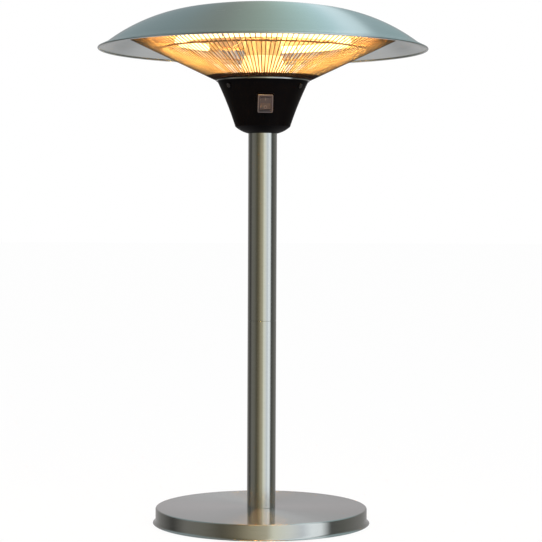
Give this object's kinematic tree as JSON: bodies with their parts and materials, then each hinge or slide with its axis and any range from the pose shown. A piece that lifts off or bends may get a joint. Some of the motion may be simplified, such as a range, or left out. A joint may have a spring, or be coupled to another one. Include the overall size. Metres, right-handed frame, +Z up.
{
  "type": "tabletop patio heater",
  "caption": "Free-standing electric patio heater for a table: round weighted base, slim pole, black switch housing, wire guard and ring lamp under a wide domed shade.",
  "frame": {"origin": "on the table, under the middle of the pole", "axes": "+Z up along the pole, -Y towards the visible switch, +Y towards the cord bushing"},
  "size_m": [0.504, 0.504, 0.8001],
  "materials": {
    "shade_steel": "satin brushed",
    "satin_steel": "satin brushed",
    "bright_steel": "bright polished",
    "guard_wire": "bright plated wire",
    "guard_ring": "dark heat-proof paint",
    "reflector_metal": "polished",
    "black_plastic": "fine moulded texture",
    "switch_frame": "moulded",
    "switch_rocker": "moulded",
    "terminal_brass": "bare",
    "rubber_black": "matt",
    "ballast_iron": "as cast",
    "plate_paint": "powder coat",
    "fastener_steel": "zinc plated",
    "plug_metal": "turned",
    "component_plastic": "moulded",
    "insulation": "pressed fibre",
    "lamp_ceramic": "unglazed",
    "lamp_glass": "clear quartz",
    "filament": "tungsten",
    "lead_sleeve": "woven glass sleeve"
  },
  "bodies": {
    "heater": {"base_ballast": "ballast_iron", "base_bottom_plate": "plate_paint", "base_cover": "satin_steel", "base_feet": "rubber_black", "base_plate_screws": "fastener_steel", "cable_bushing": "rubber_black", "center_stem": "fastener_steel", "column": "bright_steel", "column_cone": "bright_steel", "crown_nut": "bright_steel", "crown_washer": "fastener_steel", "guard_bottom_ring": "guard_ring", "guard_clips": "fastener_steel", "guard_mid_ring": "guard_wire", "guard_top_ring": "guard_wire", "guard_wires": "guard_wire", "head_component_screws": "fastener_steel", "head_plate": "satin_steel", "housing_screws": "fastener_steel", "housing_shell": "black_plastic", "insulation_ring": "insulation", "lamp_clips": "fastener_steel", "lamp_end_caps": "lamp_ceramic", "lamp_filaments": "filament", "lamp_leads": "lead_sleeve", "lamp_tube": "lamp_glass", "lead_grommets": "lamp_ceramic", "pole_coupling": "plug_metal", "pole_foot_bolts": "fastener_steel", "pole_foot_plug": "plug_metal", "pole_head_bolts": "fastener_steel", "pole_head_plug": "plug_metal", "pole_lower": "satin_steel", "pole_upper": "satin_steel", "reflector": "reflector_metal", "shade": "shade_steel", "shade_spacer": "plug_metal", "stem_nut": "fastener_steel", "switch_front_case": "switch_frame", "switch_front_terminals": "terminal_brass", "switch_rear_case": "switch_frame", "switch_rear_terminals": "terminal_brass", "switch_seals": "rubber_black", "terminal_block": "component_plastic", "tilt_switch": "black_plastic"},
    "front_rocker": {"switch_front_rocker": "switch_rocker"},
    "rear_rocker": {"switch_rear_rocker": "switch_rocker"}
  },
  "joints": [
    {"name": "front_switch", "type": "hinge", "parent": "heater", "child": "front_rocker", "pos_m": [0, -0.05275, 0.64237], "axis": [1, 0, 0], "range_deg": [0, 20]},
    {"name": "rear_switch", "type": "hinge", "parent": "heater", "child": "rear_rocker", "pos_m": [0, 0.05275, 0.64237], "axis": [-1, 0, 0], "range_deg": [0, 20]}
  ]
}
